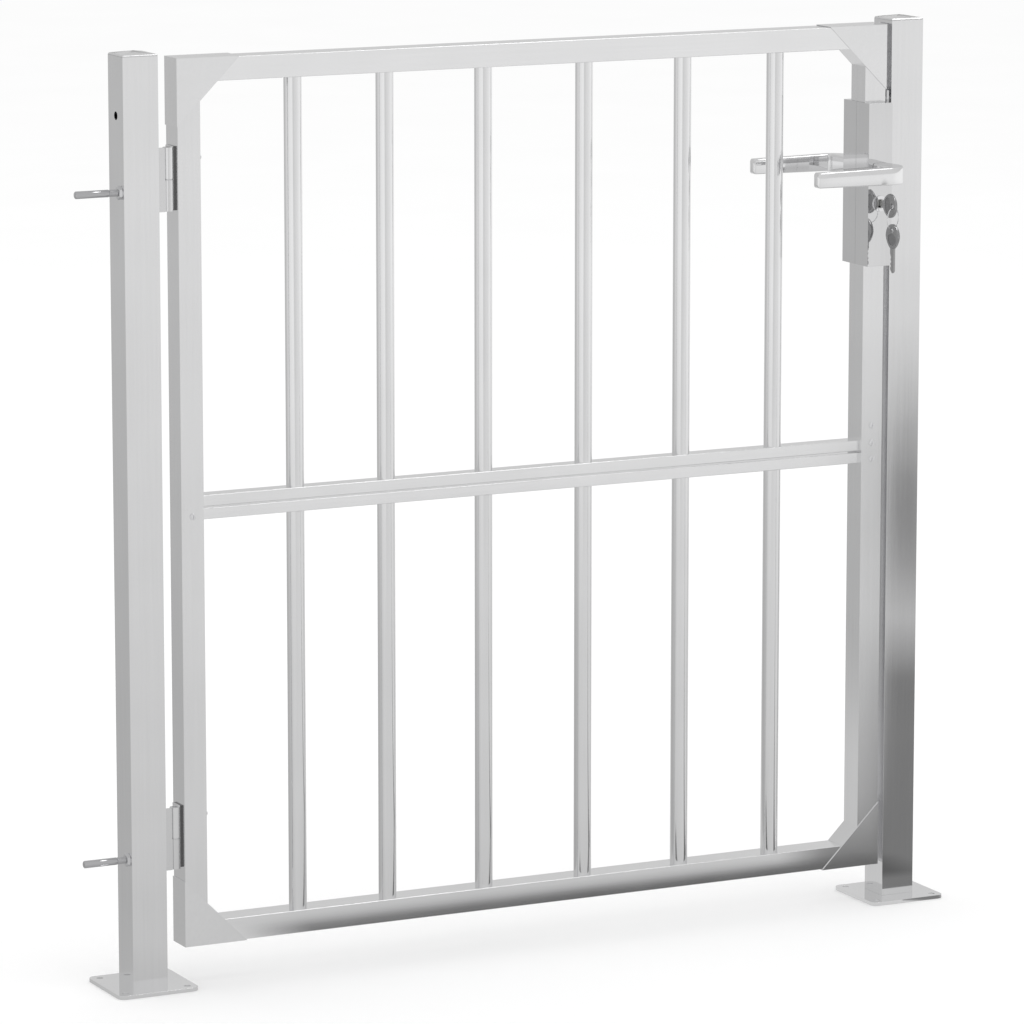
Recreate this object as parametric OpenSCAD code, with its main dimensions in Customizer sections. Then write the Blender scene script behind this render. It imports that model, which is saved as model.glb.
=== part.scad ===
// Garden gate: a barred leaf in two halves between two posts on base plates, with lift-off hinges,
// a lever latch and a key-operated dead bolt.
// X runs from the hinge post to the latch post, -Y is the front, Z is up.
// The origin is the centre of the hinge post's base, on the ground.

/* [Overall] */
// Width of the gate leaf
leaf_w = 858; // [500:1:1400]
// Height of the leaf's lower half
lower_h = 478; // [350:1:900]
// Height of the leaf's upper half
upper_h = 481; // [400:1:900]
// Gap between the ground and the leaf
ground_gap = 42; // [30:1:100]
// Gap between the hinge post and the leaf
hinge_gap = 23.5; // [22.5:0.1:26]
// Gap between the leaf and the latch post
latch_gap = 5; // [4.5:0.1:7]

/* [Posts] */
// Side of the square post tube
post_w = 40; // [36:1:60]
// Wall of the post tube
post_wall = 1.5; // [1:0.1:3]
// Height of the post's end above the leaf
post_over_leaf = 5; // [0:1:60]
// Side of the square base plate
foot_w = 93; // [80:1:140]
// Thickness of the base plate
foot_t = 4; // [3:0.5:8]
// Spacing of the base plate's holes
foot_hole_pitch = 72; // [60:1:110]
// Radius of the base plate's holes
foot_hole_r = 3.5; // [2.5:0.1:5.5]
// Radius of the base plate's corners
foot_corner_r = 8; // [2:1:14]
// Radius of the fence hole in the hinge post
fence_hole_r = 4.5; // [3:0.1:6]
// Distance of the fence hole below the post's end
fence_hole_drop = 63; // [30:1:120]

/* [Caps] */
// Height of the cap's straight rim
cap_rim = 1; // [0.5:0.1:5]
// Rise of the cap's pyramid above its rim
cap_rise = 4; // [2:0.5:12]
// Length of the plug inside the tube
cap_plug = 12; // [5:1:30]

/* [Leaf] */
// Width of a stile, seen from the front
stile_w = 26; // [24:0.5:40]
// Depth of the stiles and the outer rails
frame_d = 31; // [29:0.5:40]
// Height of the top and bottom rails
rail_h = 25; // [18:0.5:40]
// Wall of the frame tubes
frame_wall = 1.5; // [1:0.1:2.5]
// Height of a mid rail
mid_h = 12; // [8:0.5:25]
// Depth of a mid rail
mid_d = 20; // [20:0.5:28]
// Slit between the two mid rails
mid_slit = 2; // [1:0.5:10]
// Diameter of the bars
bar_d = 19.5; // [12:0.5:20]
// Wall of the bars
bar_wall = 1.2; // [0.8:0.1:2]
// Leg of the folded corners
corner_leg = 72; // [60:1:110]
// Sheet thickness of the folded corners
corner_t = 1; // [0.6:0.1:2]
// Length of the splice sleeves inside the stiles
splice_len = 100; // [60:2:160]
// Radius of the splice screws
splice_screw_r = 2; // [1.5:0.1:3]

/* [Hinges] */
// Height of a hinge
hinge_h = 68; // [50:1:100]
// Centre of the lower hinge above the ground
lower_hinge_z = 162.5; // [160:0.5:260]
// Distance of the upper hinge's centre below the leaf's top
upper_hinge_drop = 126.5; // [120:0.5:220]
// Lower threaded rod below its hinge's centre
lower_rod_drop = 18.5; // [5:0.5:24]
// Upper threaded rod below its hinge's centre
upper_rod_drop = 11.5; // [5:0.5:24]
// Radius of the threaded rods
rod_r = 4; // [3:0.5:5]
// Length of the rods outside the post
rod_out = 52; // [20:1:120]
// Width across the flats of the rod nuts
rod_nut_af = 13; // [10:1:17]
// Thickness of the rod nuts
rod_nut_t = 4; // [3:0.5:6.5]
// Radius of the hinge knuckles
knuckle_r = 5.5; // [5:0.1:6]
// Radius of the hinge pins
pin_r = 3; // [2.5:0.1:3.5]
// Thickness of the hinge sheet
hinge_t = 3; // [2:0.1:3.5]
// Distance of the hinge axis from the post
axis_out = 14; // [13:0.1:14.5]
// Distance of the hinge axis in front of the gate's middle plane
axis_front = 11; // [10:0.1:12]

/* [Lock] */
// Width of the lock case beyond the stile, on each side
case_over = 2; // [2:0.5:3]
// Depth of the lock case
case_d = 57; // [52:1:70]
// Height of the lock case
case_h = 183; // [170:1:240]
// Distance of the case's top below the leaf's top
case_drop = 85.5; // [80:0.5:260]
// Sheet thickness of the case
case_t = 1.5; // [1:0.1:1.5]
// Distance of the spindle below the case's top
spindle_drop = 76; // [70:0.5:90]
// Distance of the cylinder below the spindle
cylinder_drop = 36.5; // [28:0.5:42]
// Side of the square spindle
spindle_w = 8; // [6:0.5:9]
// Length of a lever, from the spindle to the tip
lever_len = 108; // [80:1:140]
// Height of a lever at its neck
lever_h = 20; // [16:0.5:24]
// Thickness of a lever's grip
grip_t = 12; // [8:0.5:16]
// Gap for the fingers between the case's plane and the grip
finger_gap = 39; // [30:1:60]
// Turn of the levers that draws the latch
lever_turn = 35; // [20:1:40]
// Projection of the latch bolt beyond the forend
latch_out = 10; // [8:0.1:10.5]

/* [Keys] */
// Width of a key's bow
bow_w = 27; // [20:1:32]
// Length of a key's bow
bow_l = 28; // [20:1:36]
// Thickness of a key's bow
bow_t = 3.2; // [2:0.1:4]
// Length of a key's blade
blade_l = 27; // [24:1:34]
// Distance of the bow in front of the lock case
bow_out = 8.5; // [6:0.5:14]
// Radius of the key ring, to the wire's middle
ring_r = 12; // [9:0.5:16]
// Radius of the key ring's wire
ring_wire_r = 0.9; // [0.6:0.1:1.2]

/* [Hidden] */
$fn = 48;
eps = 0.01;
BAR_COUNT = 6;
// Each bar's place across the leaf's clear width
BAR_SHARE = [0.141, 0.275, 0.421, 0.573, 0.724, 0.868];

// Across the gate
post_half = post_w / 2;
leaf_x0 = post_half + hinge_gap;
leaf_x1 = leaf_x0 + leaf_w;
latch_face_x = leaf_x1 + latch_gap;
latch_post_x = latch_face_x + post_half;
clear_x0 = leaf_x0 + stile_w;
clear_x1 = leaf_x1 - stile_w;
hinge_stile_x = leaf_x0 + stile_w / 2;
lock_x = leaf_x1 - stile_w / 2;
frame_half = frame_d / 2;

// Up the gate
leaf_z0 = ground_gap;
seam_z = leaf_z0 + lower_h;
leaf_z1 = seam_z + upper_h;
post_z1 = leaf_z1 + post_over_leaf;
lower_mid_z = seam_z - mid_slit / 2 - mid_h;
upper_mid_z = seam_z + mid_slit / 2;
hinge_zs = [lower_hinge_z, leaf_z1 - upper_hinge_drop];
rod_zs = [hinge_zs[0] - lower_rod_drop, hinge_zs[1] - upper_rod_drop];
hinge_screw_z = seam_z - 8;
latch_screw_zs = [seam_z - 8, seam_z + 10, seam_z + 30];

// Hinge
axis_x = post_half + axis_out;
axis_y = -axis_front;
fit_gap = 0.05;
washer_t = 1;
half_knuckle = (hinge_h - washer_t) / 2;
tongue_set = 2;
bracket_back_y = 6;
gate_leaf_front_y = -8;
gate_leaf_back_y = 10.5;
gate_web_t = 2.4;
hole_play = 0.2;
bolt_y = 3;
bolt_rise = 20;
bolt_r = 3;
bolt_head_r = 5.2;
bolt_head_h = 3;
bolt_nut_af = 10;
bolt_nut_t = 5;
bolt_tip = 3;
tapping_len = 8;
rod_stub = 1.5;
rod_shoulder = 0.5;
rod_step = 0.3;

// Lock
case_half_w = stile_w / 2 + case_over;
case_half_d = case_d / 2;
case_z1 = leaf_z1 - case_drop;
case_z0 = case_z1 - case_h;
spindle_z = case_z1 - spindle_drop;
cylinder_z = spindle_z - cylinder_drop;
cover_gap = 0.15;
cover_screw_r = 2;
forend_t = 1.45;
forend_half_y = 10.4;
forend_z0 = cylinder_z - 44;
forend_z1 = spindle_z + 45;
forend_x1 = leaf_x1 + forend_t;
cheek_t = 1.2;
cheek_z0 = cylinder_z - 17;
cheek_z1 = spindle_z + 31;
cheek_x0 = clear_x1 + frame_wall + 0.3;
window_play = 0.2;
trunnion_r = 6;
hub_r = 9;
hub_half = forend_half_y - cheek_t - 0.2;

// Latch bolt and follower finger: the finger's round tip draws the bolt
finger_r = 17.5;
finger_tip_r = 2.5;
finger_w = 2.4;
finger_half_y = 4;
finger_lean = 25;
tip_x = finger_r * sin(finger_lean);
latch_travel = finger_r * (sin(finger_lean) - sin(finger_lean - lever_turn));
latch_half_y = 7;
latch_z0 = spindle_z + 13.5;
latch_h = 14;
latch_lug = 3.5;
pocket_half_x = finger_tip_r + 0.4;
latch_nose = 4;
latch_bevel = 9;

// Cylinder, drive pin and dead bolt
plug_r = 5;
housing_r = 8;
housing_flange_r = 9;
flange_t = 1.5;
disc_r = 9;
disc_y0 = -9;
disc_y1 = -5;
drive_r = 6.5;
drive_pin_r = 2;
drive_turn = 90;
dead_throw = 2 * drive_r * sin(drive_turn / 2);
dead_y0 = -2;
dead_y1 = 8;
dead_h = 14;
dead_x0 = lock_x - 9.5;
keyway_w = 2.8;
blade_t = 2.2;
blade_h = 8;
key_clear = 0.2;

// Keys
bow_hole_r = 3;
bow_hole_in = 7;
wire_drop = 1.4;
ring_turn = 30;
key_front_y = -case_half_d - bow_out;
key_tip_y = key_front_y + blade_l;
hole_y = key_front_y - bow_l + bow_hole_in;
ring_top_z = cylinder_z - wire_drop;
ring_bottom_z = ring_top_z - 2 * ring_r;
spare_hole_z = ring_bottom_z - wire_drop;

// Levers
lever_gap = 0.5;
neck_w = 20;
bend_r = 24;
grip_y = case_half_d + finger_gap;
tip_h = 17;

// Strike
strike_t = 1.5;
strike_half_y = 12;
strike_z0 = cylinder_z - 28;
strike_z1 = case_z1 + 12;
lip_z0 = case_z1 + 1.5;
lip_len = 13;
lip_gap = 0.4;
bolt_hole_play = 1;
strike_x0 = latch_face_x - strike_t;

STEEL = [0.78, 0.78, 0.79];
BRIGHT = [0.86, 0.86, 0.87];
DARK = [0.30, 0.30, 0.31];

// A box from its low corner to its high corner
module span(low, high) {
    translate(low)
        cube(high - low);
}

// A square tube standing on the plane z0
module tube(size, wall, z0, z1) {
    translate([-size[0] / 2, -size[1] / 2, z0])
        difference() {
            cube([size[0], size[1], z1 - z0]);
            translate([wall, wall, -eps])
                cube([size[0] - 2 * wall, size[1] - 2 * wall, z1 - z0 + 2 * eps]);
        }
}

// A cylinder along X from x0
module rod_x(x0, x1, r) {
    translate([x0, 0, 0])
        rotate([0, 90, 0])
            cylinder(r = r, h = x1 - x0);
}

// A cylinder along Y from y0
module rod_y(y0, y1, r) {
    translate([0, y0, 0])
        rotate([-90, 0, 0])
            cylinder(r = r, h = y1 - y0);
}

// A hexagonal prism along X
module hex_x(x0, x1, flats) {
    translate([x0, 0, 0])
        rotate([0, 90, 0])
            cylinder(d = flats / cos(30), h = x1 - x0, $fn = 6);
}

// ---------- Posts ----------

module hinge_post() {
    color(STEEL)
        difference() {
            tube([post_w, post_w], post_wall, foot_t, post_z1);
            for (z = rod_zs)
                translate([0, axis_y, z])
                    rod_x(-post_half - 1, post_half + 1, rod_r + hole_play);
            translate([0, 0, post_z1 - fence_hole_drop])
                rod_x(-post_half - 1, 0, fence_hole_r);
        }
}

module latch_post() {
    color(STEEL)
        difference() {
            translate([latch_post_x, 0, 0])
                tube([post_w, post_w], post_wall, foot_t, post_z1);
            bolt_holes(latch_face_x - 1, latch_face_x + post_wall + 1);
            strike_screw_places()
                rod_x(-strike_t, post_wall + 1, 1.6);
        }
}

// The latch bolt's and the dead bolt's holes, cut from x0 to x1
module bolt_holes(x0, x1) {
    p = bolt_hole_play;
    span([x0, -latch_half_y - p, latch_z0 - p], [x1, latch_half_y + p, latch_z0 + latch_h + p]);
    span([x0, dead_y0 - p, cylinder_z - dead_h / 2 - p], [x1, dead_y1 + p, cylinder_z + dead_h / 2 + p]);
}

module strike_screw_places() {
    for (z = [strike_z0 + 8, (latch_z0 + strike_z1) / 2 + 8])
        translate([latch_face_x, 0, z])
            children();
}

// A square slope with its ridge along Y, cut later by the same slope along X
module cap_slope() {
    rotate([90, 0, 0])
        linear_extrude(height = post_w, center = true)
            polygon([
                [-post_half, 0],
                [post_half, 0],
                [post_half, cap_rim],
                [post_half - cap_rim, 2 * cap_rim],
                [0, cap_rim + cap_rise],
                [-post_half + cap_rim, 2 * cap_rim],
                [-post_half, cap_rim]
            ]);
}

module post_cap() {
    plug_w = post_w - 2 * post_wall - 0.4;
    union() {
        intersection() {
            cap_slope();
            rotate([0, 0, 90])
                cap_slope();
        }
        tube([plug_w, plug_w], 2, -cap_plug, eps);
    }
}

module post_caps() {
    color(STEEL)
        for (x = [0, latch_post_x])
            translate([x, 0, post_z1])
                post_cap();
}

module post_foot() {
    p = foot_hole_pitch / 2;
    c = foot_w / 2 - foot_corner_r;
    color(STEEL)
        difference() {
            union() {
                span([-foot_w / 2, -c, 0], [foot_w / 2, c, foot_t]);
                span([-c, -foot_w / 2, 0], [c, foot_w / 2, foot_t]);
                for (x = [-c, c], y = [-c, c])
                    translate([x, y, 0])
                        cylinder(r = foot_corner_r, h = foot_t);
            }
            for (x = [-p, p], y = [-p, p])
                translate([x, y, -1])
                    cylinder(r = foot_hole_r, h = foot_t + 2);
        }
}

module hinge_post_foot() {
    post_foot();
}

module latch_post_foot() {
    translate([latch_post_x, 0, 0])
        post_foot();
}

// ---------- Hinges, post side ----------

module hinge_bracket(i) {
    z0 = hinge_zs[i] - hinge_h / 2;
    front_y = axis_y - knuckle_r;
    web_x = axis_x - knuckle_r;
    tongue_y = front_y + tongue_set;
    color(STEEL)
        difference() {
            union() {
                span([post_half, front_y, z0], [post_half + hinge_t, bracket_back_y, z0 + hinge_h]);
                span([post_half, front_y, z0], [web_x, front_y + hinge_t, z0 + hinge_h]);
                span([web_x - hinge_t, tongue_y, z0], [axis_x, tongue_y + hinge_t, z0 + half_knuckle]);
                translate([axis_x, axis_y, z0])
                    cylinder(r = knuckle_r, h = half_knuckle);
            }
            translate([axis_x, axis_y, z0 - 1])
                cylinder(r = pin_r, h = hinge_h + 2);
            translate([0, axis_y, rod_zs[i]])
                rod_x(post_half - 1, post_half + hinge_t + rod_stub + 0.2, rod_r + fit_gap);
        }
}

module upper_hinge_bracket() {
    hinge_bracket(1);
}

module lower_hinge_bracket() {
    hinge_bracket(0);
}

module hinge_rods() {
    color(BRIGHT)
        for (z = rod_zs)
            translate([0, axis_y, z]) {
                rod_x(-post_half - rod_out, -post_half - rod_nut_t - rod_shoulder, rod_r);
                rod_x(-post_half - rod_out + 1, post_half + hinge_t + rod_stub, rod_r - rod_step);
            }
}

module rod_nuts() {
    color(BRIGHT)
        for (z = rod_zs)
            translate([0, axis_y, z])
                difference() {
                    hex_x(-post_half - rod_nut_t, -post_half, rod_nut_af);
                    rod_x(-post_half - rod_nut_t - 1, -post_half + 1, rod_r + fit_gap);
                }
}

module hinge_pins() {
    color(BRIGHT)
        for (z = hinge_zs)
            translate([axis_x, axis_y, z - hinge_h / 2])
                cylinder(r = pin_r, h = hinge_h - 2);
}

module hinge_washers() {
    color(BRIGHT)
        for (z = hinge_zs)
            translate([axis_x, axis_y, z - hinge_h / 2 + half_knuckle])
                difference() {
                    cylinder(r = knuckle_r - 0.5, h = washer_t - 0.1);
                    translate([0, 0, -1])
                        cylinder(r = pin_r + fit_gap, h = washer_t + 2);
                }
}

// ---------- Strike on the latch post ----------

module strike_plate() {
    lip_y0 = frame_half + lip_gap;
    lip_y1 = lip_y0 + strike_t;
    color(STEEL)
        difference() {
            union() {
                span([strike_x0, -strike_half_y, strike_z0], [latch_face_x, strike_half_y, strike_z1]);
                span([strike_x0, -strike_half_y, lip_z0], [latch_face_x, lip_y1, strike_z1]);
                span([latch_face_x - lip_len, lip_y0, lip_z0], [latch_face_x, lip_y1, strike_z1]);
            }
            bolt_holes(strike_x0 - 1, latch_face_x + 1);
            strike_screw_places()
                strike_screw(hole_play);
        }
}

// A countersunk screw whose head lies flush in the strike plate
module strike_screw(play) {
    head_r = 3.5;
    translate([-strike_t, 0, 0])
        rotate([0, 90, 0])
            cylinder(r1 = head_r + play, r2 = 2 + play, h = strike_t);
    rod_x(-eps, 10, 1.5 + play);
}

module strike_screws() {
    color(BRIGHT)
        strike_screw_places()
            strike_screw(0);
}

// ---------- Leaf frame ----------

module stile(x, z0, z1) {
    translate([x, 0, 0])
        tube([stile_w, frame_d], frame_wall, z0, z1);
}

module splice_hole(x, z) {
    translate([x, 0, z])
        rod_y(-frame_half - 1, 0, splice_screw_r + hole_play);
}

module gate_bolt_holes(x0, x1, z, r) {
    translate([0, bolt_y, z])
        rod_x(x0, x1, r);
}

module hinge_stile(z0, z1, i) {
    difference() {
        stile(hinge_stile_x, z0, z1);
        splice_hole(hinge_stile_x, hinge_screw_z);
        gate_bolt_holes(leaf_x0 - 1, clear_x0 + 1, hinge_zs[i] + bolt_rise, bolt_r + hole_play);
        gate_bolt_holes(leaf_x0 - 1, leaf_x0 + frame_wall + 1, hinge_zs[i] - bolt_rise, bolt_r + hole_play);
    }
}

module upper_hinge_stile() {
    color(STEEL)
        hinge_stile(seam_z, leaf_z1, 1);
}

module lower_hinge_stile() {
    color(STEEL)
        hinge_stile(leaf_z0, seam_z, 0);
}

module upper_latch_stile() {
    play = window_play;
    color(STEEL)
        difference() {
            stile(lock_x, seam_z, leaf_z1);
            for (z = latch_screw_zs)
                splice_hole(lock_x, z);
            span([leaf_x1 - frame_wall - 1, -forend_half_y - play, cheek_z0 - play],
                 [leaf_x1 + 1, forend_half_y + play, cheek_z1 + play]);
            translate([lock_x, 0, spindle_z])
                rod_y(-frame_half - 1, frame_half + 1, trunnion_r + 1);
            translate([lock_x, 0, cylinder_z])
                rod_y(-frame_half - 1, 0, housing_r + hole_play);
            cover_screw_places()
                rod_y(-frame_half - 1, frame_half + 1, cover_screw_r + 0.3);
        }
}

module lower_latch_stile() {
    color(STEEL)
        difference() {
            stile(lock_x, leaf_z0, seam_z);
            for (z = latch_screw_zs)
                splice_hole(lock_x, z);
        }
}

module rail(z0, height, depth, wall) {
    color(STEEL)
        difference() {
            span([clear_x0, -depth / 2, z0], [clear_x1, depth / 2, z0 + height]);
            span([clear_x0 - 1, -depth / 2 + wall, z0 + wall],
                 [clear_x1 + 1, depth / 2 - wall, z0 + height - wall]);
        }
}

module top_rail() {
    rail(leaf_z1 - rail_h, rail_h, frame_d, frame_wall);
}

module bottom_rail() {
    rail(leaf_z0, rail_h, frame_d, frame_wall);
}

module upper_mid_rail() {
    rail(upper_mid_z, mid_h, mid_d, frame_wall);
}

module lower_mid_rail() {
    rail(lower_mid_z, mid_h, mid_d, frame_wall);
}

module bar(i, z0, z1) {
    x = clear_x0 + BAR_SHARE[i - 1] * (clear_x1 - clear_x0);
    color(STEEL)
        translate([x, 0, z0])
            difference() {
                cylinder(d = bar_d, h = z1 - z0);
                translate([0, 0, -1])
                    cylinder(d = bar_d - 2 * bar_wall, h = z1 - z0 + 2);
            }
}

module upper_bar(i) {
    bar(i, upper_mid_z + mid_h, leaf_z1 - rail_h);
}

module lower_bar(i) {
    bar(i, leaf_z0 + rail_h, lower_mid_z);
}

// A folded corner at the origin, with its legs along +X and +Z
module folded_corner() {
    t = corner_t;
    diagonal = corner_leg - t;
    inner = diagonal - t * sqrt(2);
    color(STEEL)
        rotate([90, 0, 0])
            difference() {
                linear_extrude(height = frame_d + 2 * t, center = true)
                    polygon([[-t, -t], [corner_leg, -t], [-t, corner_leg]]);
                linear_extrude(height = frame_d, center = true)
                    union() {
                        square([stile_w, corner_leg + 1]);
                        square([corner_leg + 1, rail_h]);
                        polygon([[0, 0], [inner, 0], [0, inner]]);
                    }
            }
}

module corner_bottom_hinge() {
    translate([leaf_x0, 0, leaf_z0])
        folded_corner();
}

module corner_bottom_latch() {
    translate([leaf_x1, 0, leaf_z0])
        mirror([1, 0, 0])
            folded_corner();
}

module corner_top_hinge() {
    translate([leaf_x0, 0, leaf_z1])
        mirror([0, 0, 1])
            folded_corner();
}

module corner_top_latch() {
    translate([leaf_x1, 0, leaf_z1])
        mirror([0, 0, 1])
            mirror([1, 0, 0])
                folded_corner();
}

module splice_sleeves() {
    play = 0.3;
    wall = 2;
    sleeve = [stile_w - 2 * frame_wall - 2 * play, frame_d - 2 * frame_wall - 2 * play];
    color(STEEL)
        difference() {
            for (x = [hinge_stile_x, lock_x])
                translate([x, 0, 0])
                    tube(sleeve, wall, seam_z - splice_len / 2, seam_z + splice_len / 2);
            splice_hole(hinge_stile_x, hinge_screw_z);
            for (z = latch_screw_zs)
                splice_hole(lock_x, z);
        }
}

// A round-headed screw in a stile's front
module splice_screw(x, z) {
    head_r = 3.4;
    head_h = 1.8;
    translate([x, -frame_half, z]) {
        rod_y(0, 8, splice_screw_r);
        intersection() {
            rod_y(-head_h, 0, head_r);
            translate([0, head_r * 1.2 - head_h, 0])
                sphere(r = head_r * 1.2);
        }
    }
}

module splice_screws() {
    color(BRIGHT) {
        splice_screw(hinge_stile_x, hinge_screw_z);
        for (z = latch_screw_zs)
            splice_screw(lock_x, z);
    }
}

// ---------- Hinges, gate side ----------

module gate_hinge(i) {
    z0 = hinge_zs[i] - hinge_h / 2;
    knuckle_z = z0 + half_knuckle + washer_t;
    leaf_x = leaf_x0 - hinge_t;
    color(STEEL)
        difference() {
            union() {
                span([leaf_x, gate_leaf_front_y, z0], [leaf_x0, gate_leaf_back_y, z0 + hinge_h]);
                span([axis_x, gate_leaf_front_y, knuckle_z],
                     [leaf_x0, gate_leaf_front_y + gate_web_t, z0 + hinge_h]);
                translate([axis_x, axis_y, knuckle_z])
                    cylinder(r = knuckle_r, h = half_knuckle);
            }
            translate([axis_x, axis_y, z0 - 1])
                cylinder(r = pin_r + fit_gap, h = hinge_h + 2);
            for (z = [hinge_zs[i] - bolt_rise, hinge_zs[i] + bolt_rise])
                gate_bolt_holes(leaf_x - 1, leaf_x0 + 1, z, bolt_r + hole_play);
        }
}

module upper_gate_hinge() {
    gate_hinge(1);
}

module lower_gate_hinge() {
    gate_hinge(0);
}

module button_head(x, r, h) {
    intersection() {
        rod_x(x - h, x, r);
        translate([x + r * 0.35, 0, 0])
            sphere(r = r + h * 0.3);
    }
}

// Each hinge has a bolt through the stile and a short tapping screw below it
module hinge_bolts() {
    head_x = leaf_x0 - hinge_t;
    color(BRIGHT)
        for (z = hinge_zs) {
            translate([0, bolt_y, z + bolt_rise]) {
                button_head(head_x, bolt_head_r, bolt_head_h);
                rod_x(head_x, clear_x0 + bolt_nut_t + bolt_tip, bolt_r);
            }
            translate([0, bolt_y, z - bolt_rise]) {
                button_head(head_x, bolt_head_r, bolt_head_h);
                rod_x(head_x, leaf_x0 + tapping_len, bolt_r);
            }
        }
}

module hinge_nuts() {
    color(BRIGHT)
        for (z = hinge_zs)
            translate([0, bolt_y, z + bolt_rise])
                difference() {
                    hex_x(clear_x0, clear_x0 + bolt_nut_t, bolt_nut_af);
                    rod_x(clear_x0 - 1, clear_x0 + bolt_nut_t + 1, bolt_r + fit_gap);
                }
}

// ---------- Lock ----------

module cover_screw_places() {
    for (z = [case_z0 + 9, case_z1 - 9])
        translate([lock_x, 0, z])
            children();
}

// The front half of the lock case, without its holes
module lock_cover() {
    half = case_half_d;
    side = case_half_w;
    notch = frame_half + 0.3;
    difference() {
        span([lock_x - side, -half, case_z0], [lock_x + side, -cover_gap, case_z1]);
        span([lock_x - side + case_t, -half + case_t, case_z0 + case_t],
             [lock_x + side - case_t, 1, case_z1 - case_t]);
        span([lock_x - side + case_t, -notch, case_z0 - 1], [lock_x + side - case_t, 1, case_z1 + 1]);
        span([lock_x, -forend_half_y - 0.5, case_z0 - 1], [lock_x + side + 1, 1, case_z1 + 1]);
    }
}

module front_lock_cover() {
    boss_r = 4;
    color(STEEL)
        difference() {
            union() {
                lock_cover();
                cover_screw_places()
                    rod_y(-case_half_d + case_t - eps, -frame_half - 0.5, boss_r);
            }
            cover_screw_places()
                rod_y(-case_half_d + case_t, 0, cover_screw_r + fit_gap);
            translate([lock_x, 0, spindle_z])
                rod_y(-case_half_d - 1, -case_half_d + case_t + 1, trunnion_r + 0.5);
            translate([lock_x, 0, cylinder_z])
                rod_y(-case_half_d - 1, -case_half_d + case_t + 1, housing_r + fit_gap);
        }
}

module rear_lock_cover() {
    color(STEEL)
        difference() {
            mirror([0, 1, 0])
                lock_cover();
            cover_screw_places()
                rod_y(0, case_half_d + 1, cover_screw_r + hole_play);
            translate([lock_x, 0, spindle_z])
                rod_y(case_half_d - case_t - 1, case_half_d + 1, trunnion_r + 0.5);
        }
}

module cover_screws() {
    head_r = 3.5;
    head_h = 2;
    color(BRIGHT)
        cover_screw_places() {
            rod_y(-case_half_d + case_t + 3, case_half_d, cover_screw_r);
            rod_y(case_half_d, case_half_d + head_h, head_r);
        }
}

// Forend and two cheeks that carry the follower, the cylinder and the bolts
module lock_chassis() {
    inner_y = forend_half_y - cheek_t;
    color(BRIGHT)
        difference() {
            union() {
                span([leaf_x1, -forend_half_y, forend_z0], [forend_x1, forend_half_y, forend_z1]);
                span([cheek_x0, -forend_half_y, cheek_z0], [leaf_x1 + eps, -inner_y, cheek_z1]);
                span([cheek_x0, inner_y, cheek_z0], [leaf_x1 + eps, forend_half_y, cheek_z1]);
            }
            span([leaf_x1 - 1, -latch_half_y - window_play, latch_z0 - window_play],
                 [forend_x1 + 1, latch_half_y + window_play, latch_z0 + latch_h + window_play]);
            span([leaf_x1 - 1, dead_y0 - window_play, cylinder_z - dead_h / 2 - window_play],
                 [forend_x1 + 1, dead_y1 + window_play, cylinder_z + dead_h / 2 + window_play]);
            translate([lock_x, 0, spindle_z])
                rod_y(-forend_half_y - 1, forend_half_y + 1, trunnion_r + fit_gap);
            translate([lock_x, 0, cylinder_z])
                rod_y(-forend_half_y - 1, 0, plug_r + hole_play);
        }
}

module cylinder_housing() {
    color(BRIGHT)
        translate([lock_x, 0, cylinder_z])
            difference() {
                union() {
                    rod_y(-case_half_d - eps, -forend_half_y, housing_r);
                    rod_y(-case_half_d - flange_t, -case_half_d, housing_flange_r);
                }
                rod_y(-case_half_d - flange_t - 1, 0, plug_r + fit_gap);
            }
}

// A flat spiral round the follower's rear trunnion
function spiral(r0, r1, turns, steps) =
    [for (i = [0 : steps])
        let (a = 360 * turns * i / steps, r = r0 + (r1 - r0) * i / steps)
            [r * cos(a), r * sin(a)]];

module lever_spring() {
    strip = 0.7;
    turns = 2.25;
    r0 = trunnion_r + 0.4;
    r1 = 10.5;
    steps = 54;
    outer = spiral(r0 + strip, r1 + strip, turns, steps);
    inner = spiral(r0, r1, turns, steps);
    color(BRIGHT)
        translate([lock_x, forend_half_y + 0.3, spindle_z])
            rotate([-90, 0, 0])
                linear_extrude(height = 2.4)
                    polygon(concat(outer, [for (i = [steps : -1 : 0]) inner[i]]));
}

// ---------- Levers, spindle and follower ----------

module spindle() {
    half = spindle_w / 2;
    reach = case_half_d + 20;
    color(BRIGHT)
        span([lock_x - half, -reach, spindle_z - half], [lock_x + half, reach, spindle_z + half]);
}

module follower() {
    half = spindle_w / 2 + fit_gap;
    color(BRIGHT)
        translate([lock_x, 0, spindle_z])
            difference() {
                union() {
                    rod_y(-hub_half, hub_half, hub_r);
                    rod_y(-forend_half_y, forend_half_y, trunnion_r);
                    rotate([0, finger_lean, 0]) {
                        span([-finger_w / 2, -finger_half_y, 0], [finger_w / 2, finger_half_y, finger_r]);
                        translate([0, 0, finger_r])
                            rod_y(-finger_half_y, finger_half_y, finger_tip_r);
                    }
                }
                span([-half, -forend_half_y - 1, -half], [half, forend_half_y + 1, half]);
            }
}

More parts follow.
